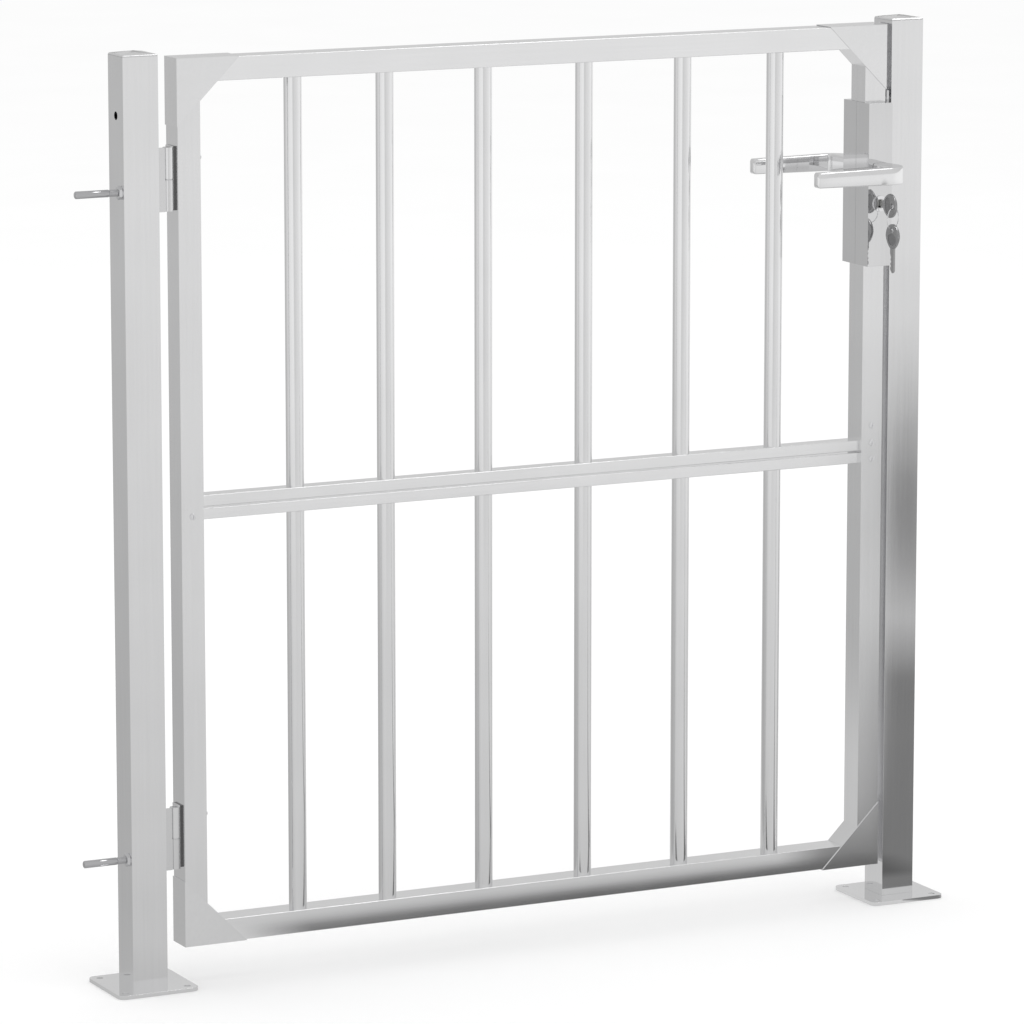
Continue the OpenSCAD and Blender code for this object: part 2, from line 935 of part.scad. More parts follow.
// A lever in front of the gate, with its spindle's middle at the origin
module lever() {
    neck_y = -case_half_d - lever_gap;
    back_y = -grip_y;
    front_y = back_y - grip_t;
    side = neck_w / 2;
    half = spindle_w / 2 + fit_gap;
    bend_x = side - bend_r;
    difference() {
        intersection() {
            // The plan: neck, round bend and grip
            linear_extrude(height = lever_h, center = true)
                union() {
                    translate([-side, front_y + bend_r])
                        square([neck_w, neck_y - front_y - bend_r]);
                    translate([bend_x, front_y])
                        square([bend_r - side, grip_t]);
                    difference() {
                        intersection() {
                            translate([bend_x, front_y + bend_r])
                                circle(r = bend_r);
                            translate([bend_x, front_y])
                                square([bend_r, bend_r]);
                        }
                        translate([bend_x - eps, front_y + grip_t])
                            square([bend_r - neck_w + eps, bend_r]);
                    }
                    translate([-lever_len, front_y])
                        square([lever_len + bend_x + eps, grip_t]);
                }
            // The side view: level top, underside rising to the tip
            translate([0, neck_y, 0])
                rotate([90, 0, 0])
                    linear_extrude(height = grip_y + grip_t)
                        polygon([
                            [side + 1, -lever_h / 2],
                            [side + 1, lever_h / 2],
                            [-lever_len + 2, tip_h / 2],
                            [-lever_len, tip_h / 2 - 2],
                            [-lever_len, -tip_h / 2 + 2],
                            [-lever_len + 2, -tip_h / 2]
                        ]);
        }
        span([-half, -case_half_d - 20, -half], [half, 0, half]);
        grub_place()
            cylinder(r = 2 + fit_gap, h = lever_h);
    }
}

// The grub screw's seat on the spindle, in the lever's underside
module grub_place() {
    translate([0, -case_half_d - 10, -spindle_w / 2])
        mirror([0, 0, 1])
            children();
}

module front_lever() {
    color(BRIGHT)
        translate([lock_x, 0, spindle_z])
            lever();
}

module back_lever() {
    color(BRIGHT)
        translate([lock_x, 0, spindle_z])
            mirror([0, 1, 0])
                lever();
}

module lever_grub_screws() {
    color(DARK)
        translate([lock_x, 0, spindle_z])
            for (side = [0, 1])
                mirror([0, side, 0])
                    grub_place()
                        translate([0, 0, 0.1])
                            cylinder(r = 2, h = 4.5);
}

// ---------- Bolts ----------

module latch_bolt() {
    // Pocket round the follower's finger
    pocket_x = lock_x + tip_x;
    x0 = pocket_x - pocket_half_x - latch_lug;
    x1 = forend_x1 + latch_out;
    pocket_top = spindle_z + finger_r + finger_tip_r + 0.6;
    color(BRIGHT)
        difference() {
            translate([0, 0, latch_z0])
                linear_extrude(height = latch_h)
                    polygon([
                        [x0, -latch_half_y],
                        [x1, -latch_half_y],
                        [x1, -latch_half_y + latch_nose],
                        [x1 - latch_bevel, latch_half_y],
                        [x0, latch_half_y]
                    ]);
            span([pocket_x - pocket_half_x, -finger_half_y - 0.4, latch_z0 - 1],
                 [pocket_x + pocket_half_x, finger_half_y + 0.4, pocket_top]);
        }
}

module dead_bolt() {
    slot_x = lock_x - dead_throw / 2;
    half = drive_pin_r + 0.3;
    color(BRIGHT)
        difference() {
            span([dead_x0, dead_y0, cylinder_z - dead_h / 2],
                 [forend_x1 - 0.2, dead_y1, cylinder_z + dead_h / 2]);
            span([slot_x - half, dead_y0 - 1, cylinder_z - dead_h / 2 - 1],
                 [slot_x + half, dead_y0 + 4, cylinder_z - drive_r * cos(drive_turn / 2) + half]);
        }
}

// ---------- Cylinder and keys ----------

module cylinder_plug() {
    slot_half = keyway_w / 2;
    slot_z = blade_h / 2 + key_clear;
    color(BRIGHT)
        translate([lock_x, 0, cylinder_z])
            difference() {
                union() {
                    rod_y(-case_half_d - flange_t, disc_y0 + eps, plug_r);
                    rod_y(disc_y0, disc_y1, disc_r);
                    rotate([0, drive_turn / 2, 0])
                        translate([0, 0, -drive_r])
                            rod_y(disc_y1 - eps, dead_y0 + 3.5, drive_pin_r);
                }
                span([-slot_half, -case_half_d - flange_t - 1, -slot_z],
                     [slot_half, key_tip_y + 0.4, slot_z]);
            }
}

// A key along +Y from its bow's near edge, flat in the YZ plane
module flat_key() {
    color(DARK)
        difference() {
            union() {
                translate([0, -bow_l / 2, 0])
                    rotate([0, 90, 0])
                        rotate([0, 0, 90])
                            linear_extrude(height = bow_t, center = true)
                                bow_outline();
                span([-blade_t / 2, -2, -blade_h / 2], [blade_t / 2, blade_l - 3, blade_h / 2]);
                span([-blade_t / 2, blade_l - 3 - eps, -blade_h / 2], [blade_t / 2, blade_l, blade_h / 2 - 3]);
            }
            translate([0, -bow_l + bow_hole_in, 0])
                rod_x(-bow_t, bow_t, bow_hole_r);
        }
}

// The bow seen from its flat side: an egg shape, wider away from the blade
module bow_outline() {
    big = bow_w / 2;
    small = bow_w * 0.36;
    reach = bow_l / 2;
    polygon([
        for (a = [0 : 10 : 350])
            let (r = a > 90 && a < 270 ? big : small + (big - small) * pow(abs(sin(a)), 2))
                [reach * cos(a), r * sin(a)]
    ]);
}

module key() {
    translate([lock_x, key_front_y, cylinder_z])
        flat_key();
}

module spare_key() {
    // The bow's hole hangs on the ring's lowest wire
    translate([lock_x, hole_y, spare_hole_z])
        rotate([-90, 0, 0])
            translate([0, bow_l - bow_hole_in, 0])
                flat_key();
}

module key_ring() {
    color(BRIGHT)
        translate([lock_x, hole_y, ring_top_z - ring_r])
            rotate([0, 0, ring_turn])
                rotate([90, 0, 0])
                    rotate_extrude()
                        translate([ring_r, 0])
                            circle(r = ring_wire_r);
}

hinge_post();
latch_post();
post_caps();
hinge_post_foot();
latch_post_foot();
upper_hinge_bracket();
lower_hinge_bracket();
hinge_rods();
rod_nuts();
hinge_pins();
hinge_washers();
strike_plate();
strike_screws();
upper_hinge_stile();
lower_hinge_stile();
upper_latch_stile();
lower_latch_stile();
top_rail();
bottom_rail();
upper_mid_rail();
lower_mid_rail();
for (i = [1 : BAR_COUNT]) {
    upper_bar(i);
    lower_bar(i);
}
corner_top_hinge();
corner_top_latch();
corner_bottom_hinge();
corner_bottom_latch();
splice_sleeves();
splice_screws();
upper_gate_hinge();
lower_gate_hinge();
hinge_bolts();
hinge_nuts();
front_lock_cover();
rear_lock_cover();
cover_screws();
lock_chassis();
cylinder_housing();
lever_spring();
spindle();
follower();
front_lever();
back_lever();
lever_grub_screws();
latch_bolt();
dead_bolt();
cylinder_plug();
key();
key_ring();
spare_key();
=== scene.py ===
import math

import bmesh
import bpy
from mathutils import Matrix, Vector


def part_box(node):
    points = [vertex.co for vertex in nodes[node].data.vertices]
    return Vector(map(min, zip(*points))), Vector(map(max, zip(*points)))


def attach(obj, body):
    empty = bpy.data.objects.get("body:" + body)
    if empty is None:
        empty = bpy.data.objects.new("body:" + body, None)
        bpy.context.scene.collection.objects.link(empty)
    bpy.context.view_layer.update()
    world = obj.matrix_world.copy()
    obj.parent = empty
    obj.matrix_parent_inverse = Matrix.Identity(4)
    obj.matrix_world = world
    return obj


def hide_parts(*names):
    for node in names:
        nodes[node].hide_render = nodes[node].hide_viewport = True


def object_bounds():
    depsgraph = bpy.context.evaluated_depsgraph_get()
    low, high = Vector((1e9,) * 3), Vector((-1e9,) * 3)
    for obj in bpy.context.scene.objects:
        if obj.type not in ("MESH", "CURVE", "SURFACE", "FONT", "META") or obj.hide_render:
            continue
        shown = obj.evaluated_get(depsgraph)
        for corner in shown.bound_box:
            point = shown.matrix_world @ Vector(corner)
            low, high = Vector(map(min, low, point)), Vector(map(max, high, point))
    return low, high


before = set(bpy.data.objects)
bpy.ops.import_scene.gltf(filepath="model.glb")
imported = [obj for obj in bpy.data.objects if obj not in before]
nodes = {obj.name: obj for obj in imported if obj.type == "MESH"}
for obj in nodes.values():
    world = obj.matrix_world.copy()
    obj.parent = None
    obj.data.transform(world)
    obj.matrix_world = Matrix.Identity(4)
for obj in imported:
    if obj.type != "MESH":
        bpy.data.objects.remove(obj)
cad_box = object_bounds()
scene = bpy.context.scene
MM = 0.001
# Edges bent by more than this many degrees are sharp
SHARP_DEG = 35


# ---------- node helpers ----------


def add(tree, kind, **values):
    """One shader node, with the values of its plain sockets."""
    n = tree.nodes.new(kind)
    for key, value in values.items():
        if hasattr(n, key):
            setattr(n, key, value)
        else:
            n.inputs[key.replace("_", " ")].default_value = value
    return n


def math_node(tree, operation, a, b=None, c=None):
    """A sum on numbers or on other nodes' sockets."""
    n = tree.nodes.new("ShaderNodeMath")
    n.operation = operation
    for i, value in enumerate((a, b, c)):
        if value is None:
            continue
        if isinstance(value, (int, float)):
            n.inputs[i].default_value = value
        else:
            tree.links.new(value, n.inputs[i])
    return n.outputs[0]


def ramp(tree, fac, stops):
    """A colour ramp of greys or colours, as (place, value) pairs."""
    n = tree.nodes.new("ShaderNodeValToRGB")
    el = n.color_ramp.elements
    while len(el) < len(stops):
        el.new(0.5)
    for e, (place, value) in zip(el, stops):
        e.position = place
        e.color = (*((value,) * 3 if isinstance(value, (int, float)) else value), 1)
    tree.links.new(fac, n.inputs["Fac"])
    return n.outputs["Color"]


def noise(tree, where, stretch, scale, detail=3.0, rough=0.55):
    """Noise in the object's own metres, drawn out along one axis by stretch."""
    m = add(tree, "ShaderNodeMapping", Scale=stretch)
    tree.links.new(where, m.inputs["Vector"])
    n = add(tree, "ShaderNodeTexNoise", Scale=scale, Detail=detail, Roughness=rough)
    tree.links.new(m.outputs[0], n.inputs["Vector"])
    return n.outputs["Fac"]


# ---------- metals ----------

# How the marks are drawn out along the three axes
ALONG_Z = (1, 1, 0.02)
ALONG_X = (0.02, 1, 1)
EVEN = (1, 1, 1)
MARKS_PER_M, CLOUDS_PER_M, SPECKS_PER_M = 260, 14, 900
ROUGH_SPREAD = 0.25
BUMP_DEPTH = 0.0004


def metal(name, tone, rough, grain, spread=0.03, bump=0.02, painted_gap_shade_from=None):
    """Steel with drawn marks along one axis, cloudy polish and fine scratches, and painted shade beyond the
    given x.
    """
    mat = bpy.data.materials.new(name)
    mat.use_nodes = True
    tree = mat.node_tree
    bsdf = tree.nodes["Principled BSDF"]
    bsdf.inputs["Metallic"].default_value = 1.0
    where = add(tree, "ShaderNodeTexCoord").outputs["Object"]
    marks = noise(tree, where, grain, MARKS_PER_M, 4.0, 0.6)
    clouds = noise(tree, where, EVEN, CLOUDS_PER_M, 2.0, 0.5)
    specks = noise(tree, where, EVEN, SPECKS_PER_M, 2.0, 0.6)
    halves = [math_node(tree, "MULTIPLY", part, 0.5) for part in (marks, clouds)]
    both = math_node(tree, "ADD", *halves)
    low = [c * (1 - spread) for c in tone]
    high = [min(1.0, c * (1 + spread)) for c in tone]
    colour = ramp(tree, both, [(0.3, low), (0.7, high)])
    # Painted shade: beyond this x the colour turns dark and speckled, standing for the shadow in the gap by
    # the stile
    if painted_gap_shade_from is not None:
        split = tree.nodes.new("ShaderNodeSeparateXYZ")
        tree.links.new(where, split.inputs[0])
        in_painted_shade = math_node(tree, "GREATER_THAN", split.outputs[0], painted_gap_shade_from)
        dark = ramp(tree, specks, [(0.3, 0.12), (0.7, 0.17)])
        mix = add(tree, "ShaderNodeMix", data_type="RGBA")
        for socket, value in ((0, in_painted_shade), (6, colour), (7, dark)):
            tree.links.new(value, mix.inputs[socket])
        colour = mix.outputs[2]
    tree.links.new(colour, bsdf.inputs["Base Color"])
    shares = [math_node(tree, "MULTIPLY", part, share) for part, share in ((both, 0.8), (specks, 0.2))]
    spot = math_node(tree, "ADD", *shares)
    off_middle = math_node(tree, "SUBTRACT", spot, 0.5)
    r = math_node(tree, "MULTIPLY_ADD", off_middle, 2 * rough * ROUGH_SPREAD, rough)
    tree.links.new(math_node(tree, "MAXIMUM", r, 0.02), bsdf.inputs["Roughness"])
    relief = add(tree, "ShaderNodeBump", Strength=bump, Distance=BUMP_DEPTH)
    tree.links.new(spot, relief.inputs["Height"])
    tree.links.new(relief.outputs[0], bsdf.inputs["Normal"])
    return mat


# Painted shade: the gate hinge's plate is coloured dark at its edge, where it lies in the gap against the
# stile
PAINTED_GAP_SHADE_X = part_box("upper_hinge_stile")[0].x - 0.0021

MATERIALS = {
    "post": metal("steel_post", (0.815, 0.815, 0.82), 0.07, ALONG_Z),
    "foot": metal("steel_foot", (0.88, 0.88, 0.885), 0.08, EVEN),
    "stile": metal("steel_stile", (0.835, 0.835, 0.84), 0.14, ALONG_Z),
    "rail": metal("steel_rail", (0.885, 0.885, 0.89), 0.12, ALONG_X),
    "bar": metal("steel_bar", (0.83, 0.83, 0.835), 0.1, ALONG_Z),
    "sheet": metal("steel_sheet", (0.85, 0.85, 0.855), 0.14, EVEN),
    "case": metal("polished_case", (0.735, 0.735, 0.74), 0.05, ALONG_Z),
    "bright": metal("bright_plated", (0.84, 0.84, 0.85), 0.07, EVEN, spread=0.02),
    # The gate hinges' plate carries painted shade at its edge in the gap
    "hinge": metal("hinge_plate", (0.8, 0.8, 0.805), 0.14, ALONG_Z, painted_gap_shade_from=PAINTED_GAP_SHADE_X),
    "bracket": metal("hinge_bracket", (0.74, 0.74, 0.745), 0.14, ALONG_Z),
    "rod": metal("bright_rod", (0.55, 0.55, 0.56), 0.07, ALONG_X, spread=0.03),
    "nut": metal("plated_nut", (0.7, 0.7, 0.71), 0.1, EVEN, spread=0.03),
    "lever": metal("polished_lever", (0.86, 0.86, 0.865), 0.06, EVEN, spread=0.015, bump=0.01),
    "key_panel": metal("dark_nickel_panel", (0.31, 0.31, 0.315), 0.42, EVEN, spread=0.1, bump=0.08),
    "key_blade": metal("milled_blade", (0.42, 0.42, 0.42), 0.25, ALONG_Z, spread=0.08),
    "inner": metal("zinc_plated", (0.62, 0.62, 0.61), 0.35, EVEN, spread=0.08),
    "key": metal("dark_nickel", (0.38, 0.38, 0.385), 0.28, ALONG_Z, spread=0.1, bump=0.05),
}

# Each CAD node's material, the width of its rounded edges in mm and their segments
LOOK = {}
for finish, width, segments, names in (
    ("post", 1.6, 3, "hinge_post latch_post"),
    ("sheet", 0.4, 2, "post_caps"),
    ("foot", 1.3, 3, "hinge_post_foot latch_post_foot"),
    ("bracket", 0.4, 2, "upper_hinge_bracket lower_hinge_bracket"),
    ("hinge", 0.4, 2, "upper_gate_hinge lower_gate_hinge"),
    ("stile", 1.0, 3, "upper_hinge_stile lower_hinge_stile upper_latch_stile lower_latch_stile"),
    ("rail", 0.6, 3, "top_rail bottom_rail upper_mid_rail lower_mid_rail"),
    ("sheet", 0.3, 2, "corner_top_hinge corner_top_latch corner_bottom_hinge corner_bottom_latch"),
    ("sheet", 0.3, 2, "strike_plate"),
    ("case", 0.9, 3, "front_lock_cover rear_lock_cover"),
    ("bright", 2.6, 4, "front_lever back_lever"),
    ("bright", 0.25, 2, "hinge_pins hinge_washers rod_nuts hinge_rods hinge_bolts hinge_nuts splice_screws"),
    ("bright", 0.25, 2, "strike_screws cover_screws lever_grub_screws spindle cylinder_housing key_ring"),
    ("inner", 0.2, 2, "splice_sleeves lock_chassis lever_spring follower latch_bolt dead_bolt cylinder_plug"),
    ("key", 0.4, 2, "key spare_key"),
    ("bar", 0, 0, " ".join(f"{half}_bar_{i}" for half in ("upper", "lower") for i in range(1, 7))),
):
    LOOK.update({n: (finish, width, segments) for n in names.split()})


def smooth_by_angle():
    """A modifier's node group that smooths across edges flatter than SHARP_DEG."""
    g = bpy.data.node_groups.new("smooth_by_angle", "GeometryNodeTree")
    g.interface.new_socket("Geometry", in_out="INPUT", socket_type="NodeSocketGeometry")
    g.interface.new_socket("Geometry", in_out="OUTPUT", socket_type="NodeSocketGeometry")
    start, end = g.nodes.new("NodeGroupInput"), g.nodes.new("NodeGroupOutput")
    angle = g.nodes.new("GeometryNodeInputMeshEdgeAngle")
    flat = g.nodes.new("FunctionNodeCompare")
    flat.operation = "LESS_THAN"
    flat.inputs["B"].default_value = math.radians(SHARP_DEG)
    edges = g.nodes.new("GeometryNodeSetShadeSmooth")
    edges.domain = "EDGE"
    faces = g.nodes.new("GeometryNodeSetShadeSmooth")
    faces.domain = "FACE"
    g.links.new(start.outputs[0], faces.inputs["Geometry"])
    g.links.new(faces.outputs[0], edges.inputs["Geometry"])
    g.links.new(angle.outputs["Unsigned Angle"], flat.inputs["A"])
    g.links.new(flat.outputs[0], edges.inputs["Shade Smooth"])
    g.links.new(edges.outputs[0], end.inputs[0])
    return g


SMOOTH = smooth_by_angle()


def soften(ob, width, segments):
    """Joins the faces of each flat side, rounds the sharp edges and smooths the rest."""
    weld = ob.modifiers.new("weld", "WELD")
    weld.merge_threshold = 1e-6
    flat = ob.modifiers.new("flat_sides", "DECIMATE")
    flat.decimate_type = "DISSOLVE"
    flat.angle_limit = math.radians(0.3)
    if width:
        bevel = ob.modifiers.new("edges", "BEVEL")
        bevel.width = width * MM
        bevel.segments = segments
        bevel.limit_method = "ANGLE"
        bevel.angle_limit = math.radians(SHARP_DEG)
    smooth = ob.modifiers.new("smooth", "NODES")
    smooth.node_group = SMOOTH
    if width:
        even = ob.modifiers.new("even", "WEIGHTED_NORMAL")
        even.keep_sharp = True
        even.weight = 100


for name, node in nodes.items():
    finish, width, segments = LOOK[name]
    for s in node.material_slots:
        s.material = MATERIALS[finish]
    soften(node, width, segments)

# ---------- pieces with more detail than the construction needs ----------


def islands(node):
    """The separate solids of a CAD node, each as (lowest corner, highest corner), sorted from low to high."""
    me = node.data
    key = [tuple(round(c, 6) for c in v.co) for v in me.vertices]
    root = {k: k for k in key}

    def find(k):
        while root[k] != k:
            root[k] = root[root[k]]
            k = root[k]
        return k

    for poly in me.polygons:
        first = find(key[poly.vertices[0]])
        for v in poly.vertices[1:]:
            root[find(key[v])] = first
            first = find(first)
    groups = {}
    for k in root:
        groups.setdefault(find(k), []).append(k)
    out = [(Vector(map(min, zip(*g))), Vector(map(max, zip(*g)))) for g in groups.values()]
    return sorted(out, key=lambda b: (round(b[0].z, 4), round(b[0].x, 4), round(b[0].y, 4)))


def piece(name, verts, faces, body, finish, stands_for=(), smooth=SHARP_DEG):
    """A detailed mesh that rides on a body and may stand for CAD nodes. Its edges bent by smooth degrees or
    more are sharp."""
    me = bpy.data.meshes.new(name)
    me.from_pydata(verts, [], faces)
    bm = bmesh.new()
    bm.from_mesh(me)
    bmesh.ops.remove_doubles(bm, verts=bm.verts, dist=1e-7)
    bmesh.ops.recalc_face_normals(bm, faces=bm.faces)
    limit = math.radians(smooth)
    for f in bm.faces:
        f.smooth = True
    for e in bm.edges:
        e.smooth = len(e.link_faces) == 2 and e.calc_face_angle(0) < limit
    bm.to_mesh(me)
    bm.free()
    ob = bpy.data.objects.new(name, me)
    scene.collection.objects.link(ob)
    me.materials.append(MATERIALS[finish])
    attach(ob, body)
    if stands_for:
        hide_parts(*stands_for)
    return ob


class Shape:
    """Gathers grids of points placed along an axis."""

    def __init__(self):
        self.verts, self.faces = [], []

    def grid(self, rows):
        """Rows of points joined into quads, each row closed on itself. Returns where the first and the last
        row start, and a row's length."""
        start, m = len(self.verts), len(rows[0])
        for row in rows:
            self.verts.extend(row)
        for i in range(len(rows) - 1):
            for j in range(m):
                k = (j + 1) % m
                a, b = start + i * m, start + (i + 1) * m
                self.faces.append((a + j, a + k, b + k, b + j))
        return start, start + (len(rows) - 1) * m, m

    def cap(self, start, m, flip=False):
        """Closes a row of m points with one face."""
        loop = list(range(start, start + m))
        self.faces.append(tuple(reversed(loop)) if flip else tuple(loop))


def frame_of(axis):
    """The axis as a unit vector, and two across it."""
    axis = Vector(axis).normalized()
    side = Vector((0, 0, 1)) if abs(axis.z) < 0.5 else Vector((1, 0, 0))
    u = axis.cross(side).normalized()
    return axis, u, axis.cross(u)


def threaded_rod(shape, start, axis, length, r, pitch, depth, steps=24):
    """A rod with a helical thread, chamfered at both ends."""
    a, u, v = frame_of(axis)
    chamfer, rows_per_turn = 0.8 * MM, 6
    n = int(length / pitch * rows_per_turn)
    rows = []
    for i in range(n + 1):
        s = length * i / n
        row = []
        for j in range(steps):
            turn = j / steps
            phase = (s / pitch - turn) % 1.0
            rr = r - depth * abs(2 * phase - 1) ** 0.8
            rr = min(rr, r - chamfer + min(s, length - s))
            ang = 2 * math.pi * turn
            row.append(Vector(start) + a * s + u * (rr * math.cos(ang)) + v * (rr * math.sin(ang)))
        rows.append(row)
    first, last, m = shape.grid(rows)
    shape.cap(first, m, True)
    shape.cap(last, m)


def lathe(shape, start, axis, profile, steps, outline=None):
    """Turns (distance along the axis, radius) points round it. outline, from the angle, distance and radius,
    gives the radius where it isn't a circle."""
    a, u, v = frame_of(axis)
    rows = []
    for s, r in profile:
        row = []
        for j in range(steps):
            ang = 2 * math.pi * j / steps
            k = outline(ang, s, r) if outline else r
            row.append(Vector(start) + a * s + u * (k * math.cos(ang)) + v * (k * math.sin(ang)))
        rows.append(row)
    return shape.grid(rows)


def hexagon(ang, flats):
    """Distance from a hexagon's middle to its side at this angle, with flats across its flats."""
    return flats / 2 / math.cos((ang + math.pi / 6) % (math.pi / 3) - math.pi / 6)


def nut(shape, start, axis, flats, thick, bore):
    """A hexagon nut with turned chamfers on both faces and a chamfered bore."""
    round_r = flats / 2 * 0.98
    c = (flats / math.sqrt(3) - round_r) * math.tan(math.radians(30))

    def side(ang, s, r):
        if r < round_r * 1.001:
            return r
        edge = hexagon(ang, flats)
        room = round_r + min(s, thick - s) / math.tan(math.radians(30))
        return min(edge, max(room, round_r))

    lip = bore + 0.5 * MM
    profile = [(0.5 * MM, bore), (0, lip), (0, round_r)]
    profile += [(c * k / 3, flats) for k in (1, 2, 3)]
    profile += [(thick - c * k / 3, flats) for k in (3, 2, 1)]
    profile += [(thick, round_r), (thick, lip), (thick - 0.5 * MM, bore), (0.5 * MM, bore)]
    lathe(shape, start, axis, profile, steps=72, outline=side)


def driven_head(shape, start, axis, r, height, recess, depth, kind="cross"):
    """A domed screw head from its seat out along the axis, with a cross or hexagon recess."""
    a, u, v = frame_of(axis)
    rings, steps = 22, 56
    turns = [2 * math.pi * j / steps for j in range(steps)]
    rows = [[Vector(start) + u * (r * math.cos(ang)) + v * (r * math.sin(ang)) for ang in turns]]
    for i in range(rings, -1, -1):
        rr = r * i / rings
        row = []
        for ang in turns:
            x, y = rr * math.cos(ang), rr * math.sin(ang)
            top = height * (0.55 + 0.45 * math.sqrt(max(0.0, 1 - (rr / r) ** 2.4)))
            if kind == "cross":
                arm = recess * 0.2
                side_in = max(arm - min(abs(x), abs(y)), 0) / (arm * 0.5)
                end_in = max(recess - max(abs(x), abs(y)), 0) / (recess * 0.2)
                inside = min(side_in, end_in, 1)
            else:
                inside = min(max(hexagon(ang, recess * 2) - rr, 0) / (0.25 * MM), 1)
            row.append(Vector(start) + a * (top - depth * inside) + u * x + v * y)
        rows.append(row)
    first, _, m = shape.grid(rows)
    shape.cap(first, m, True)


# Hinge rods with their thread, and the nuts on them
rods = Shape()
for lo, hi in islands(nodes["hinge_rods"]):
    y, z, r = (lo.y + hi.y) / 2, (lo.z + hi.z) / 2, (hi.z - lo.z) / 2
    smooth_l = 38 * MM
    profile = [(0, r - 1.0 * MM), (0.3 * MM, r - 0.55 * MM), (1.0 * MM, r), (smooth_l - 0.5 * MM, r),
               (smooth_l + 0.3 * MM, r - 0.6 * MM)]
    first, last, m = lathe(rods, (lo.x, y, z), (1, 0, 0), profile, 40)
    rods.cap(first, m, True)
    rods.cap(last, m)
    length = hi.x - lo.x - smooth_l
    threaded_rod(rods, (lo.x + smooth_l, y, z), (1, 0, 0), length, r - 0.05 * MM, 1.25 * MM, 0.5 * MM)
piece("threaded_hinge_rods", rods.verts, rods.faces, "posts", "rod", ["hinge_rods"], 60)

for name, node, body, finish, bore in (
    ("chamfered_rod_nuts", "rod_nuts", "posts", "nut", 3.6 * MM),
    ("chamfered_bolt_nuts", "hinge_nuts", "leaf", "bright", 2.6 * MM),
):
    nuts = Shape()
    for lo, hi in islands(nodes[node]):
        flats = min(hi.y - lo.y, hi.z - lo.z)
        nut(nuts, (lo.x, (lo.y + hi.y) / 2, (lo.z + hi.z) / 2), (1, 0, 0), flats, hi.x - lo.x, bore)
    piece(name, nuts.verts, nuts.faces, body, finish, [node])

bolts = Shape()
for lo, hi in islands(nodes["hinge_bolts"]):
    at = Vector((0, (lo.y + hi.y) / 2, (lo.z + hi.z) / 2))
    r, seat = (hi.z - lo.z) / 2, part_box("upper_gate_hinge")[1].x - 3 * MM
    driven_head(bolts, (seat, at.y, at.z), (-1, 0, 0), r, seat - lo.x, 2.0 * MM, 1.4 * MM, "hexagon")
    threaded_rod(bolts, (seat, at.y, at.z), (1, 0, 0), hi.x - seat, 3 * MM, 1.0 * MM, 0.4 * MM, 20)
piece("socket_hinge_bolts", bolts.verts, bolts.faces, "leaf", "bright", ["hinge_bolts"], 50)

screws = Shape()
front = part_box("upper_latch_stile")[0].y
for lo, hi in islands(nodes["splice_screws"]):
    x, z = (lo.x + hi.x) / 2, (lo.z + hi.z) / 2
    driven_head(screws, (x, front, z), (0, -1, 0), (hi.x - lo.x) / 2, front - lo.y, 2.1 * MM, 1.2 * MM)
    threaded_rod(screws, (x, front, z), (0, 1, 0), hi.y - front, 2.0 * MM, 0.8 * MM, 0.3 * MM, 16)
piece("cross_splice_screws", screws.verts, screws.faces, "leaf", "bright", ["splice_screws"], 50)

screws = Shape()
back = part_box("rear_lock_cover")[1].y
for lo, hi in islands(nodes["cover_screws"]):
    x, z = (lo.x + hi.x) / 2, (lo.z + hi.z) / 2
    driven_head(screws, (x, back, z), (0, 1, 0), (hi.x - lo.x) / 2, hi.y - back, 2.1 * MM, 1.3 * MM)
    threaded_rod(screws, (x, back, z), (0, -1, 0), back - lo.y, 2.0 * MM, 0.7 * MM, 0.3 * MM, 16)
piece("cross_cover_screws", screws.verts, screws.faces, "leaf", "bright", ["cover_screws"], 50)


